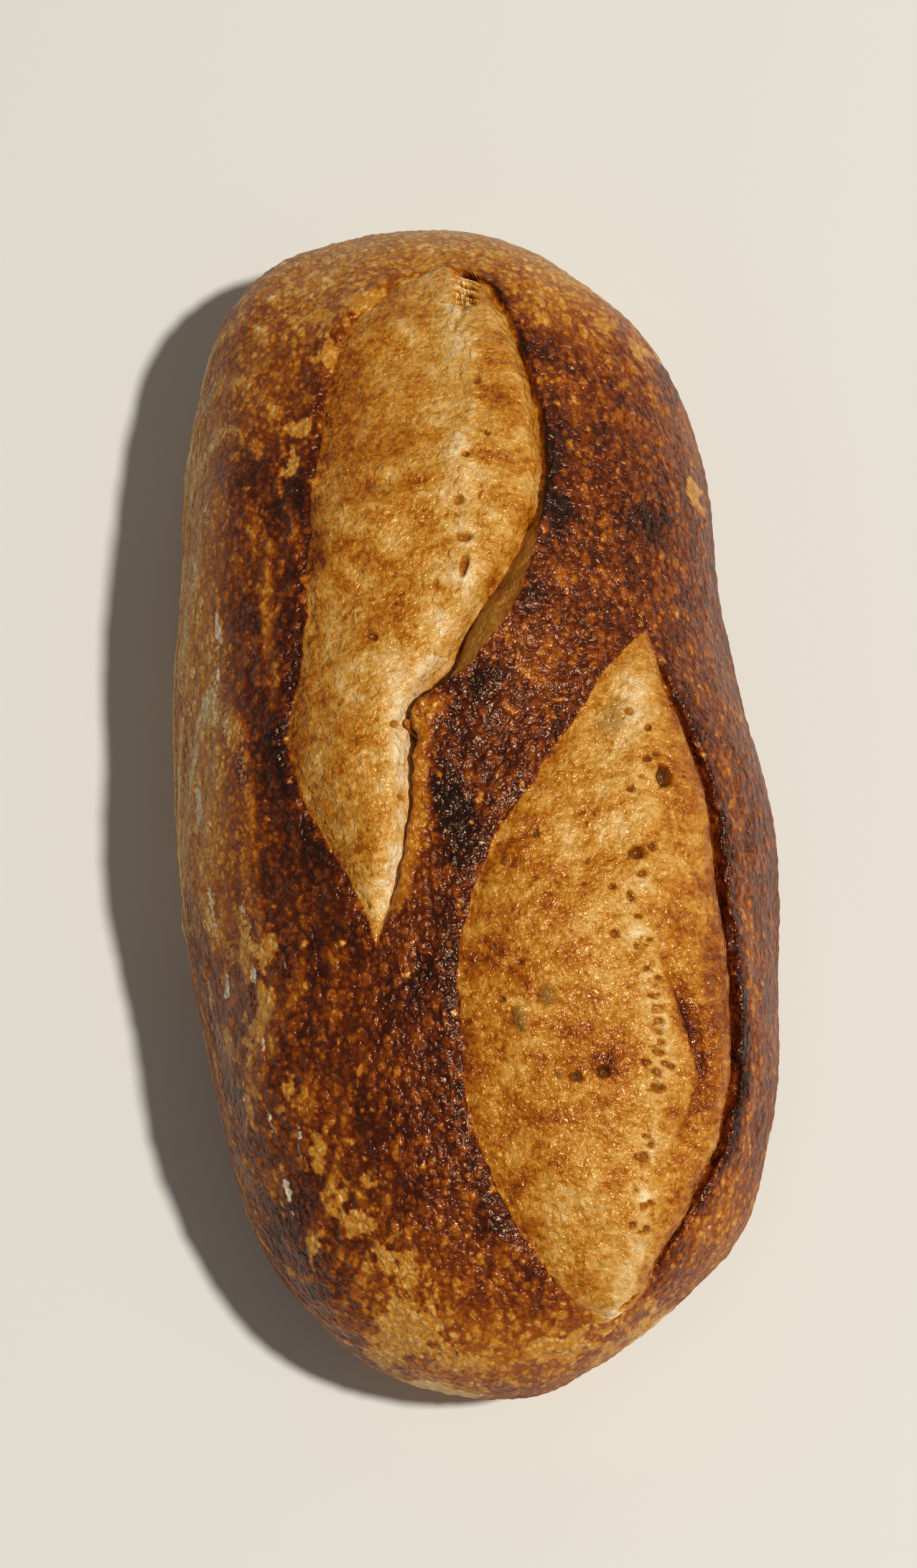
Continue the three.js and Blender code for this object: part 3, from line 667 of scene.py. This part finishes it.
# browning runs from 0 raw to 1 charred
def crustBrowning(at):
    x, y = at.x, at.y
    loose = at.flat + at.wobble
    bake = crust["bake"] + crust["slow"] * lumps(at.flat, crust["slowSize"], 103, 2)
    bake += crust["patch"] * lumps(at.shaped, crust["patchSize"], 107, 2, stretch=(1, 1.5, 1))
    bake += patches(loose, crust["darker"]) - patches(loose, crust["paler"])
    amber = smooth(0.06, 0.34, at.blister) * (0.5 + 0.9 * at.blisterDraw)
    bake -= crust["blisterPale"] * (amber - 0.5) + crust["bigBlisterPale"] * at.bigBlister
    broken = np.clip(0.5 + 1.1 * lumps(at.shaped, 6, 151, 2, stretch=(1, 3, 1)), 0, 1.4)
    bake -= crust["rowPale"] * (smooth(0.1, 0.9, at.rowWave) * broken - 0.25) * at.rowsHere

    # paler down the sides, along the left flank, at both ends and underneath
    at.side = smooth(*crust["sideUp"], at.height)
    at.sunless = smooth(*crust["flankAcross"], x) * smooth(*crust["sunlessAlong"], y)
    bake -= crust["sidePale"] * at.side + crust["flankPale"] * smooth(*crust["flankAcross"], x)
    bake -= crust["sunlessPale"] * at.sunless + crust["farPale"] * smooth(*crust["farAlong"], y)
    bake -= crust["nearPale"] * smooth(*crust["nearAlong"], y)
    bake -= crust["underPale"] * ~at.onTop * smooth(*crust["underUp"], at.height)

    # darker beside the slashes, with a charred strip along the near lip
    bake += at.patchy * crust["farRim"] * bell(at.farLeft + 2, 3) * at.farShown
    bake += at.patchy * crust["nearRim"] * bell(at.nearLeft + 2, 3) * at.nearShown
    bake += at.patchy * crust["lipRim"] * bell(at.farLip + 2, 3.2) * at.farShown * smooth(45, 60, y)
    strip = bell(at.nearLip + 1.1 + 0.8 * lumps(at.flat, 9, 171), 1.7) * spanned(y, crust["stripSpan"])
    bake += (crust["strip"] + 0.1 * at.patchy) * strip * at.nearShown
    bake -= crust["stripBack"] * bell(at.nearLip + 6, 3.5) * at.nearShown

    tanAmount = 1.05 * patches(loose, crust["tan"]) + 0.6 * lumps(at.shaped, 3.4, 101, 3)
    bake = mix(bake, crust["tanBake"], smooth(0.36, 0.6, tanAmount - 0.1 * (1 - at.blister)))
    rim = np.zeros(len(x))
    for x0, y0, z0, size, amount in crust["rim"]:
        rim += amount * np.exp(-((loose - (x0, y0, z0)) ** 2).sum(1) / size ** 2)
    bake = mix(bake, crust["rimBake"], smooth(0.35, 0.7, rim + 0.2 * lumps(at.shaped, 4, 109, 2)))
    rolled = at.farLip + 0.8 * lumps(at.flat, 5, 167, 2)
    goldRoll = spanned(rolled, crust["rollAcross"]) * spanned(y, crust["rollSpan"])
    return mix(bake, crust["goldRoll"], goldRoll)


def burstBrowning(at):
    x, y = at.x, at.y
    loose = at.flat + at.wobble
    bake = burst["bake"] + burst["slow"] * lumps(at.flat, burst["slowSize"], 113, 2)
    bake += burst["patch"] * lumps(at.bent, burst["patchSize"], 127, 3, stretch=(1.15, 0.9, 1))
    bake += burst["streak"] * lumps(at.bent, burst["streakSize"], 157, 2, stretch=(1.4, 0.9, 1))
    bake += patches(loose, burst["darker"]) - patches(loose, burst["paler"])

    # creamy along the seams, where the dough tore last
    onNear = x > 0
    creamy = burst["seamPale"] * (1 + 0.2 * onNear * smooth(-38, -50, y))
    bake -= creamy * at.seamTorn + burst["seamBroad"] * bell(at.seam, 10)
    bake -= burst["ridgePale"] * at.ridges * (1 - at.seamTorn)
    bake -= burst["farSeam"] * bell(at.seam + 0.8, 5) * smooth(34, 52, y)
    bake -= burst["nearSeam"] * bell(at.seam, 3.2) * smooth(-36, -48, y)
    bake += burst["nearBrown"] * onNear * smooth(6, -4, y) * smooth(-110, -96, y)

    # browner beside the crust, paler behind the far lip
    rim = burst["rimBrown"]
    bake += at.patchy * rim * bell(at.farLeft - 1, 5) * at.farShown
    bake += at.patchy * rim * bell(at.nearLeft - 1, 6) * at.nearShown
    bake -= burst["lipPale"] * bell(at.farLip - 2, 5) * at.farShown * smooth(32, 20, y)
    bake += burst["lipBrown"] * bell(at.nearLip - 2, 6) * at.nearShown
    # painted shade in the dark gap under the near lip
    bake += burst["paintedCreaseShade"] * smooth(1.6, 0.4, at.nearLip) * at.nearShown
    tornGap = at.torn + 0.8 * lumps(at.flat, 4, 163, 2)
    # painted shade along the tear's fold, with a broader browner band beside it
    bake += (tear["paintedShade"] * bell(tornGap, 1.7) + tear["rimBrown"] * bell(tornGap - 3, 3)) * at.tornHere
    comb = burst["comb"]
    # painted shade: the open pores are darkened inside
    bake += burst["poreShade"] * at.hollow
    # painted shade in the slit between the strands, which are paler
    bake += at.slit * (comb["paintedShade"] * (1 - at.strands) - comb["strandPale"] * at.strands)
    # painted shade: the steep wall under the far lip, which faces away from the lamp, is made darker
    at.wall = at.skin * smooth(0.4, -0.8, at.farFoot) * spanned(y, burst["wallSpan"]) * (at.farLip > 0)
    return bake + burst["wallShade"] * at.wall


def flouring(at):
    strokes = patches(at.flat + 0.35 * at.wobble, crust["flour"]) + 0.3 * lumps(at.shaped, 2.2, 131, 2)
    flank = smooth(*crust["flankAcross"], at.x)
    dust = crust["dustLeft"] * smooth(*crust["dustAcross"], at.x) + crust["dustSunless"] * at.sunless
    dust += crust["dustFoot"] * smooth(*crust["dustUp"], at.height) + crust["dustSide"] * at.side
    dust += patches(at.flat, [crust["dustPatch"]])
    dust += crust["dustRows"] * (1 + flank) * smooth(0.1, 1, at.rowWave) * at.rowsHere
    dust *= np.clip(0.8 + 0.6 * lumps(at.shaped, 5, 137, 2, stretch=(1, 2.5, 1)), 0, 1.4)
    return np.clip(np.maximum(smooth(0.45, 0.95, strokes), dust) * (1 - at.skin), 0, 1)


def bakedLoaf():
    cuts = [openedCut(farSlash), openedCut(nearSlash)]
    at = openedLoaf(cuts)
    onCrust = crustRelief(at)
    print("crust blistered")
    widen, sink = burst["poreWiden"], burst["poreSink"]
    pores = [(x, y, wide * widen, long * widen, turn, depth * sink)
             for x, y, wide, long, turn, depth in burst["pores"]]
    onBurst = burstRelief(at, pores + burst["seamPits"] + scatteredPores(cuts))
    at.shaped += at.normals * mix(onCrust, onBurst, at.skin)[:, None]
    print("bursts grained")

    bake = mix(crustBrowning(at), burstBrowning(at), at.skin)
    # painted shadow: a thin dark line along the far lip, where the crack's shade falls
    crackShade = bell(at.farLip + 0.4 * lumps(at.flat, 5, 173), 0.9) * at.farShown * smooth(40, 60, at.y)
    bake = np.clip(bake + crust["paintedCreaseShade"] * at.patchy * crackShade, 0, 1)
    flour = flouring(at)
    print("loaf browned")
    # painted shade: the olive tint on the wall under the far lip and inside the pores
    hollowShade = np.maximum(burst["wallShadeOlive"] * at.wall, burst["poreShadeOlive"] * at.hollow)
    shades = dict(
        bake=bake, skin=at.skin, flour=flour,
        dull=np.clip(flour + 0.5 * smooth(54, 30, at.height) * (1 - at.skin), 0, 1),
        # film holds the thin blown skins and the painted shade of the wall and pores
        film=np.maximum(at.skin * smooth(0.3, 0.8, at.blown), hollowShade),
    )
    shades = {name: value.reshape(at.shape) for name, value in shades.items()}
    return at.shaped.reshape(*at.shape, 3), at.domeColumns, shades


unwrapped = dict(topShare=0.8, underFrom=0.82, underShare=0.17, margin=0.01)


# most of the unwrapped picture goes to the top, and a strip of it to the underside
def unwrap(mesh, rows, columns, domeColumns):
    def acrossAt(column):
        onTop = unwrapped["topShare"] * column / domeColumns
        under = unwrapped["underShare"] * (column - domeColumns) / (columns - domeColumns)
        return onTop, unwrapped["underFrom"] + under

    column = np.arange(columns)
    isTop = column < domeColumns
    left = np.where(isTop, *acrossAt(column))
    right = np.where(isTop, *acrossAt(column + 1))
    margin = unwrapped["margin"]
    down = 1 - margin - (1 - 2 * margin) * (np.arange(rows) + 1) / (rows + 1)
    quads = np.empty((rows - 1, columns, 4, 2))
    quads[..., :2, 0] = left[:, None]
    quads[..., 2:, 0] = right[:, None]
    quads[..., (0, 3), 1] = down[:-1, None, None]
    quads[..., (1, 2), 1] = down[1:, None, None]

    def fan(tip, ring, first, second):
        corners = np.empty((columns, 3, 2))
        corners[:, 0] = np.stack([(left + right) / 2, np.full(columns, tip)], -1)
        corners[:, 1] = np.stack([first, np.full(columns, ring)], -1)
        corners[:, 2] = np.stack([second, np.full(columns, ring)], -1)
        return corners

    fans = [fan(1 - margin, down[0], left, right), fan(margin, down[-1], right, left)]
    places = np.concatenate([quads.ravel(), fans[0].ravel(), fans[1].ravel()])
    layer = mesh.uv_layers.new(name="OFBake")
    layer.data.foreach_set("uv", places.astype(np.float32))


def loafMesh(grid, domeColumns, shades):
    rows, columns = grid.shape[:2]
    tips = np.array([[0, side * halfLength, measuresAt(side * halfLength)[2]] for side in (1, -1)])
    tips[:, 0] = grid[[0, -1], :, 0].mean(1)
    points = np.concatenate([grid.reshape(-1, 3), tips]) * mm
    index = np.arange(rows * columns).reshape(rows, columns)
    beside = np.roll(index, -1, 1)
    quads = np.stack([index[:-1], index[1:], beside[1:], beside[:-1]], -1).reshape(-1, 4)
    farTip, nearTip = rows * columns, rows * columns + 1
    farFan = np.stack([np.full(columns, farTip), index[0], beside[0]], -1)
    nearFan = np.stack([np.full(columns, nearTip), beside[-1], index[-1]], -1)
    corners = np.concatenate([quads.ravel(), farFan.ravel(), nearFan.ravel()])
    starts = np.concatenate([np.arange(len(quads)) * 4, len(quads) * 4 + np.arange(2 * columns) * 3])
    mesh = bpy.data.meshes.new("loafCrust")
    mesh.vertices.add(len(points))
    mesh.vertices.foreach_set("co", points.astype(np.float32).ravel())
    mesh.loops.add(len(corners))
    mesh.loops.foreach_set("vertex_index", corners.astype(np.int32))
    mesh.polygons.add(len(starts))
    mesh.polygons.foreach_set("loop_start", starts.astype(np.int32))
    mesh.update(calc_edges=True)
    mesh.polygons.foreach_set("use_smooth", np.ones(len(starts), bool))
    for name, value in shades.items():
        ends = [value[0].mean(), value[-1].mean()]
        attribute = mesh.attributes.new(name, "FLOAT", "POINT")
        attribute.data.foreach_set("value", np.concatenate([value.ravel(), ends]).astype(np.float32))
    unwrap(mesh, rows, columns, domeColumns)
    mesh.validate()
    return mesh


finish = dict(
    # browning and its colour in daylight, from raw dough to char
    ramp=[(0.0, (240, 215, 165)), (0.12, (229, 183, 117)), (0.25, (212, 157, 75)), (0.36, (195, 130, 40)),
          (0.46, (176, 102, 17)), (0.55, (152, 76, 9)), (0.64, (126, 55, 7)), (0.72, (102, 40, 7)),
          (0.8, (80, 26, 6)), (0.9, (52, 14, 7)), (1.0, (30, 10, 8))],
    # film is the olive of thin blown skins, also used for the painted shade in the wall and pores
    flour=(224, 204, 170), film=(134, 94, 36),
    grainJitter=0.16, skinJitter=0.26, beadPale=0.14, crumplePale=0.08,
    glossy=0.19, crustGloss=0.29, matte=0.85, specular=0.5, specularTint=(255, 210, 168),
    filmShare=0.75, flourSpeckle=1.7, roughJitter=0.3,
    bumpDepth=0.0006, fineShare=0.5, broadShare=0.9,
)


def linear(rgb):
    return tuple(((c / 255 + 0.055) / 1.055) ** 2.4 if c > 10 else c / 255 / 12.92 for c in rgb) + (1,)


def crustMaterial():
    material = bpy.data.materials.new("bakedCrust")
    material.use_nodes = True
    nodes, links = material.node_tree.nodes, material.node_tree.links
    shader = nodes["Principled BSDF"]

    def add(kind, inputs=(), **settings):
        made = nodes.new("ShaderNode" + kind)
        for name, value in settings.items():
            setattr(made, name, value)
        for socket, value in dict(inputs).items():
            if isinstance(value, bpy.types.NodeSocket):
                links.new(value, made.inputs[socket])
            else:
                made.inputs[socket].default_value = value
        return made

    def calc(kind, a, b=0.0, c=0.0, clamp=False):
        return add("Math", {0: a, 1: b, 2: c}, operation=kind, use_clamp=clamp).outputs[0]

    def times(a, b):
        return calc("MULTIPLY", a, b)

    def centred(value):
        return calc("SUBTRACT", value, 0.5)

    def noise(where, scale, detail, **more):
        return add("TexNoise", {"Vector": where, "Scale": scale, "Detail": detail, **more}).outputs

    def ease(value, low, high):
        return add("MapRange", {0: value, 1: low, 2: high}, interpolation_type="SMOOTHSTEP").outputs[0]

    def blend(share, a, b):
        return add("Mix", {0: share, 6: a, 7: b}, data_type="RGBA").outputs[2]

    place = add("TexCoord").outputs["Object"]
    millimetres = add("Mapping", {"Vector": place, "Scale": (1000, 1000, 1000)}).outputs[0]
    names = ("bake", "skin", "flour", "dull", "film")
    shade = {name: add("Attribute", attribute_name=name).outputs["Fac"] for name in names}
    onBurst = shade["skin"]
    onCrust = calc("SUBTRACT", 1.0, onBurst)

    # fine detail under half a millimetre: bent places, then grain, wrinkled skin and amber beads
    bend = noise(millimetres, 0.4, 2.0)["Color"]
    offset = add("VectorMath", {0: bend, 1: (0.5, 0.5, 0.5)}, operation="SUBTRACT").outputs[0]
    bendBy = (2.4, 2.4, 2.4)
    bent = add("VectorMath", {0: offset, 1: bendBy, 2: millimetres}, operation="MULTIPLY_ADD").outputs[0]
    stretched = add("VectorMath", {0: bent, 1: (0.8, 1.0, 0.9)}, operation="MULTIPLY").outputs[0]
    grain = noise(millimetres, 1.3, 4.0, Roughness=0.65)[0]
    softGrain = noise(bent, 0.85, 1.0)[0]
    fold = noise(stretched, 0.75, 1.6, Roughness=0.55)[0]
    crumple = calc("SUBTRACT", 1.0, times(calc("ABSOLUTE", centred(fold)), 4.5), clamp=True)
    beads = add("TexVoronoi", {"Vector": bent, "Scale": 0.62}, feature="F1")
    draw = add("SeparateColor", {0: beads.outputs["Color"]}).outputs[0]
    bead = ease(beads.outputs["Distance"], 0.62, 0.22)

    # browning, with its mottling
    mottle = noise(stretched, 0.62, 4.0, Roughness=0.7)[0]
    level = calc("MULTIPLY_ADD", centred(grain), -2 * finish["grainJitter"], shade["bake"])
    level = calc("MULTIPLY_ADD", times(centred(mottle), onBurst), -2 * finish["skinJitter"], level)
    paleBead = calc("SUBTRACT", times(bead, calc("ADD", draw, 0.45)), 0.45)
    level = calc("MULTIPLY_ADD", times(paleBead, onCrust), -finish["beadPale"], level)
    crumpled = times(calc("SUBTRACT", crumple, 0.55), onBurst)
    level = calc("MULTIPLY_ADD", crumpled, -finish["crumplePale"], level, clamp=True)
    ramp = add("ValToRGB", {0: level})
    elements = ramp.color_ramp.elements
    while len(elements) < len(finish["ramp"]):
        elements.new(0.5)
    for element, (position, rgb) in zip(elements, finish["ramp"]):
        element.position = position
        element.color = linear(rgb)
    # the olive of blown skins, which also paints shade into the wall and pores
    colour = blend(times(shade["film"], finish["filmShare"]), ramp.outputs[0], linear(finish["film"]))
    speckle = calc("MULTIPLY_ADD", centred(grain), finish["flourSpeckle"], shade["flour"])
    colour = blend(ease(speckle, 0.42, 0.95), colour, linear(finish["flour"]))
    links.new(colour, shader.inputs["Base Color"])

    # gloss, which flour takes away
    gloss = calc("MULTIPLY_ADD", onCrust, finish["crustGloss"] - finish["glossy"], finish["glossy"])
    dull = calc("MULTIPLY_ADD", shade["dull"], finish["matte"] - finish["glossy"], gloss)
    rough = calc("MULTIPLY_ADD", centred(grain), finish["roughJitter"], dull, clamp=True)
    links.new(rough, shader.inputs["Roughness"])
    shader.inputs["Specular IOR Level"].default_value = finish["specular"]
    shader.inputs["Specular Tint"].default_value = linear(finish["specularTint"])

    # fine relief
    beaded = times(calc("MULTIPLY_ADD", beads.outputs["Distance"], -0.8, 1.0), onCrust)
    crisp = noise(bent, 1.9, 1.5)[0]
    skinned = times(calc("MULTIPLY_ADD", crumple, 0.35, crisp), times(onBurst, 0.7))
    softBead = add("TexVoronoi", {"Vector": bent, "Scale": 0.5, "Smoothness": 0.6}, feature="SMOOTH_F1")
    fine = times(calc("ADD", beaded, skinned), finish["fineShare"])
    broad = times(calc("SUBTRACT", softGrain, softBead.outputs[0]), finish["broadShare"])
    relief = calc("ADD", fine, broad)
    bump = add("Bump", {"Height": relief, "Distance": finish["bumpDepth"], "Strength": 1.0})
    links.new(bump.outputs[0], shader.inputs["Normal"])
    return material


studio = dict(
    floor=(228, 226, 217), floorSize=14.0,
    turn=-14, height=65, distance=3.2, lampSize=0.22, lampPower=95, lampColour=(1.0, 0.975, 0.93),
    skyColour=(1.0, 0.97, 0.92), sky=0.16,
)
view = dict(  # millimetres, and degrees above the table
    aim=(0, 0, 40), distance=1150, height=78, roll=4.6,
    focal=7583, width=1474, length=2520, aimAt=(758, 1277),
)


def addFloor():
    half = studio["floorSize"] / 2
    corners = [(-half, -half, 0), (half, -half, 0), (half, half, 0), (-half, half, 0)]
    mesh = bpy.data.meshes.new("paleFloor")
    mesh.from_pydata(corners, [], [(0, 1, 2, 3)])
    floor = bpy.data.objects.new("paleFloor", mesh)
    bpy.context.scene.collection.objects.link(floor)
    material = bpy.data.materials.new("paleFloor")
    material.use_nodes = True
    shader = material.node_tree.nodes["Principled BSDF"]
    shader.inputs["Base Color"].default_value = linear(studio["floor"])
    shader.inputs["Roughness"].default_value = 0.9
    mesh.materials.append(material)


def addLights():
    turn, height = math.radians(studio["turn"]), math.radians(studio["height"])
    towards = Vector((math.cos(height) * math.cos(turn), math.cos(height) * math.sin(turn), math.sin(height)))
    lamp = bpy.data.lights.new("softKey", "AREA")
    lamp.shape = "DISK"
    lamp.size = studio["lampSize"]
    lamp.energy = studio["lampPower"]
    lamp.color = studio["lampColour"]
    key = bpy.data.objects.new("softKey", lamp)
    key.location = Vector((0, 0, 0.04)) + towards * studio["distance"]
    key.rotation_euler = towards.to_track_quat("Z", "Y").to_euler()
    bpy.context.scene.collection.objects.link(key)
    world = bpy.data.worlds.new("paleStudio")
    world.use_nodes = True
    sky = world.node_tree.nodes["Background"]
    sky.inputs["Color"].default_value = (*studio["skyColour"], 1)
    sky.inputs["Strength"].default_value = studio["sky"]
    bpy.context.scene.world = world


def addCamera():
    height, roll = math.radians(view["height"]), math.radians(view["roll"])
    back = Vector((0, -math.cos(height), math.sin(height)))
    level = Vector((1, 0, 0))
    upright = back.cross(level)
    right = math.cos(roll) * level - math.sin(roll) * upright
    up = math.cos(roll) * upright + math.sin(roll) * level
    scale = view["distance"] / view["focal"]
    place = Vector(view["aim"]) + back * view["distance"]
    place -= right * (view["aimAt"][0] - view["width"] / 2) * scale
    place += up * (view["aimAt"][1] - view["length"] / 2) * scale
    camera = bpy.data.objects.new("camera", bpy.data.cameras.new("camera"))
    camera.matrix_world = Matrix.Translation(place * mm) @ Matrix((right, up, back)).transposed().to_4x4()
    camera.data.sensor_width = 36
    camera.data.lens = view["focal"] * 36 / view["length"]
    camera.data.clip_start = 0.05
    bpy.context.scene.collection.objects.link(camera)
    bpy.context.scene.camera = camera


addCamera()
addLights()
addFloor()
bpy.context.scene.view_settings.view_transform = "Standard"
print("studio set")

crustMesh = loafMesh(*bakedLoaf())
crustMesh.materials.append(crustMaterial())
loaf = bpy.data.objects.new("sourdoughLoaf", crustMesh)
bpy.context.scene.collection.objects.link(loaf)
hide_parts("loaf")
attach(loaf, "root")
print("loaf dressed:", len(crustMesh.vertices), "points")
